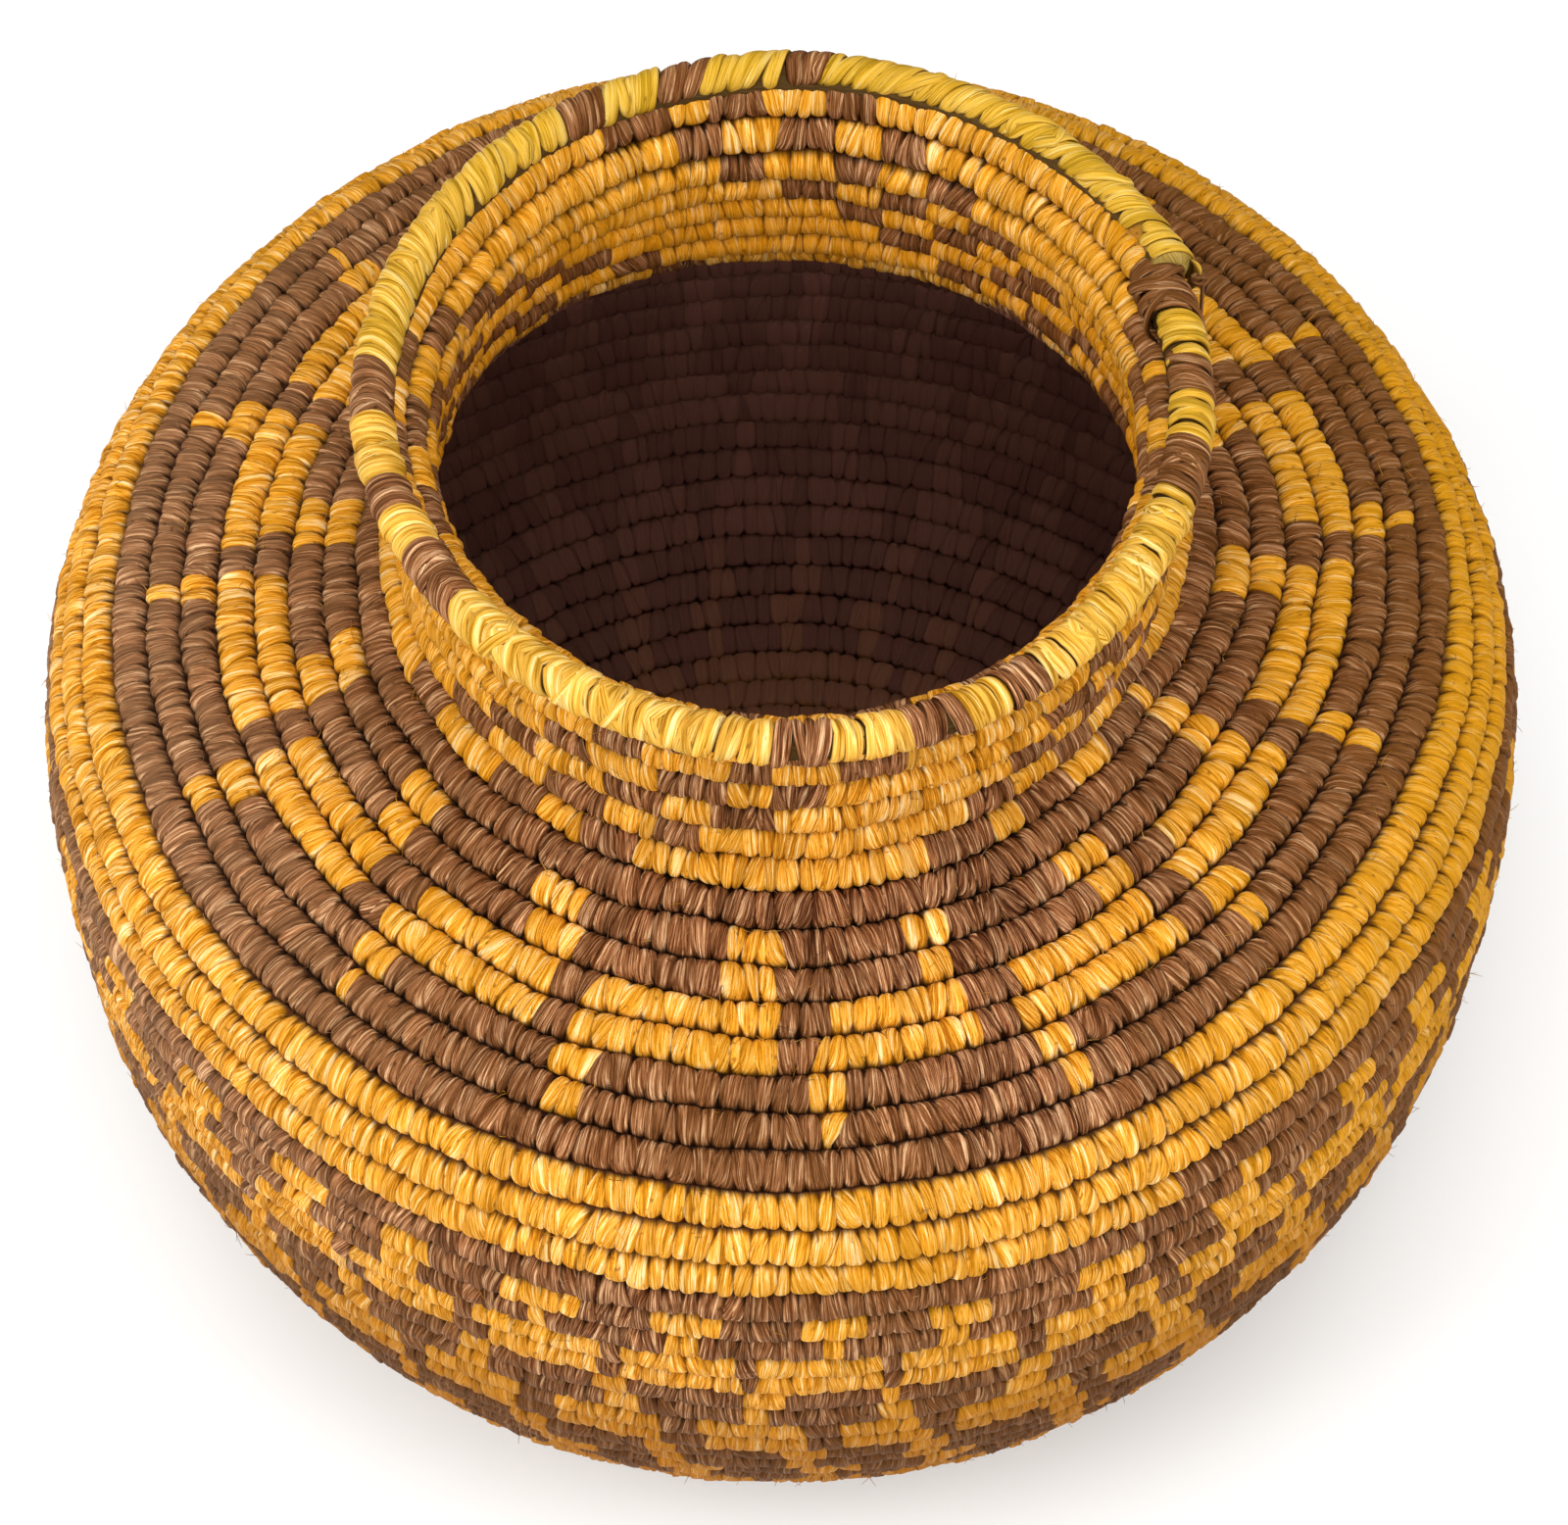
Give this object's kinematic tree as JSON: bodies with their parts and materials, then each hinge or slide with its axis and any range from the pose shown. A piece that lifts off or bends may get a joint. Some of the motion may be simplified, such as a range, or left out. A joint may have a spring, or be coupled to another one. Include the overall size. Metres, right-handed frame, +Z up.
{
  "type": "coiled basketry olla",
  "caption": "Round-bodied jar of coiled basketry with a wide shoulder, a short neck and a thick overcast rim.",
  "frame": {"origin": "on the floor under the middle of the jar, at the centre of the flat base", "axes": "+Z up along the jar's axis, -Y towards the jar's front; the coil's turns start 36 degrees from the front on the +X side"},
  "size_m": [0.328, 0.327, 0.2573],
  "materials": {
    "natural_strand": "sewing strand of split plant fibre in its natural gold, softly shiny along the grain",
    "dyed_strand": "the same strand dyed dark brown, with lighter fibres showing",
    "foundation": "loose bundle of fine stems, matt"
  },
  "bodies": {
    "root": {"start_knot": "natural_strand", "base_course_02": "natural_strand", "base_course_03": "natural_strand", "base_course_04": "natural_strand", "base_course_05": "natural_strand", "base_course_06": "natural_strand", "base_course_07": "natural_strand", "base_course_08": "natural_strand", "base_course_09": "natural_strand", "base_course_10": "natural_strand", "base_course_11": "natural_strand", "wall_course_01": "natural_strand", "wall_course_02": "natural_strand", "wall_course_03": "natural_strand", "wall_course_04": "natural_strand", "wall_course_05": "natural_strand", "wall_course_06": "natural_strand", "wall_course_07": "natural_strand", "wall_course_08": "natural_strand", "wall_course_09": "natural_strand", "wall_course_10": "natural_strand", "wall_course_11": "natural_strand", "wall_course_12": "natural_strand", "wall_course_13": "natural_strand", "wall_course_14": "natural_strand", "wall_course_15": "natural_strand", "wall_course_16": "natural_strand", "wall_course_17": "natural_strand", "wall_course_18": "natural_strand", "wall_course_19": "natural_strand", "wall_course_20": "natural_strand", "wall_course_21": "natural_strand", "wall_course_22": "natural_strand", "wall_course_23": "dyed_strand", "wall_course_24": "dyed_strand", "shoulder_course_01": "natural_strand", "shoulder_course_02": "natural_strand", "shoulder_course_03": "natural_strand", "shoulder_course_04": "dyed_strand", "shoulder_course_05": "dyed_strand", "shoulder_course_06": "dyed_strand", "shoulder_course_07": "natural_strand", "shoulder_course_08": "natural_strand", "shoulder_course_09": "dyed_strand", "shoulder_course_10": "dyed_strand", "shoulder_course_11": "dyed_strand", "neck_course_01": "natural_strand", "neck_course_02": "natural_strand", "neck_course_03": "natural_strand", "neck_course_04": "natural_strand", "neck_course_05": "natural_strand", "neck_course_06": "natural_strand", "neck_course_07": "natural_strand", "neck_course_08": "natural_strand", "rim_bundle": "foundation", "rim_overcast": "natural_strand", "rim_whipping": "dyed_strand", "whipping_tail": "dyed_strand"}
  },
  "joints": []
}
